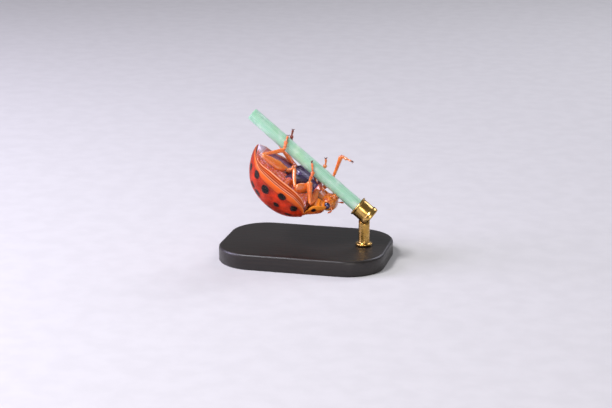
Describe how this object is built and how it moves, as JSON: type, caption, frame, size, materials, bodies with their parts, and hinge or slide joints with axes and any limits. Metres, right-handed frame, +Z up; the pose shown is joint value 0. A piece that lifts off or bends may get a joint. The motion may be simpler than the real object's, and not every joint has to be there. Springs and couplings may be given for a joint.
{
  "type": "ladybird",
  "caption": "Orange spotted plant-eating ladybird clinging upside down under a short cut length of sloping grass stem, on a plain display stand.",
  "frame": {"origin": "centre of the display base's flat underside, on the surface it stands on", "axes": "+Z up; +X along the base towards the lower end of the stem, the way the insect's head points; +Y across the base, towards the insect's right side"},
  "size_m": [0.0116, 0.008, 0.0103],
  "materials": {
    "wing_case": "orange-red chitin with black spots, satin gloss under short pale hairs",
    "body_plate": "orange chitin, finely pitted",
    "dark_plate": "purple-black punctured chitin, orange towards the sides",
    "limb": "clear orange chitin with short hairs",
    "eye": "glossy black compound eye",
    "stem": "waxy pale green grass stem, fine lengthwise ribs",
    "brass": "turned and lacquered",
    "wood": "ebonised maple, oiled"
  },
  "bodies": {
    "root": {"elytron_left": "wing_case", "elytron_right": "wing_case", "scutellum": "body_plate", "pronotum": "body_plate", "prothorax": "body_plate", "head": "body_plate", "mouthparts": "body_plate", "thorax": "dark_plate", "abdomen": "dark_plate", "leg_left_front_femur": "limb", "leg_left_front_tibia": "limb", "leg_left_front_tarsus": "limb", "leg_left_middle_femur": "limb", "leg_left_middle_tibia": "limb", "leg_left_middle_tarsus": "limb", "leg_left_hind_femur": "limb", "leg_left_hind_tibia": "limb", "leg_left_hind_tarsus": "limb", "leg_right_front_femur": "limb", "leg_right_front_tibia": "limb", "leg_right_front_tarsus": "limb", "leg_right_middle_femur": "limb", "leg_right_middle_tibia": "limb", "leg_right_middle_tarsus": "limb", "leg_right_hind_femur": "limb", "leg_right_hind_tibia": "limb", "leg_right_hind_tarsus": "limb", "antenna_left": "limb", "antenna_right": "limb", "eye_left": "eye", "eye_right": "eye", "perch_stem": "stem", "stand_rod": "brass", "stand_ferrule": "brass", "stand_base": "wood"}
  },
  "joints": []
}
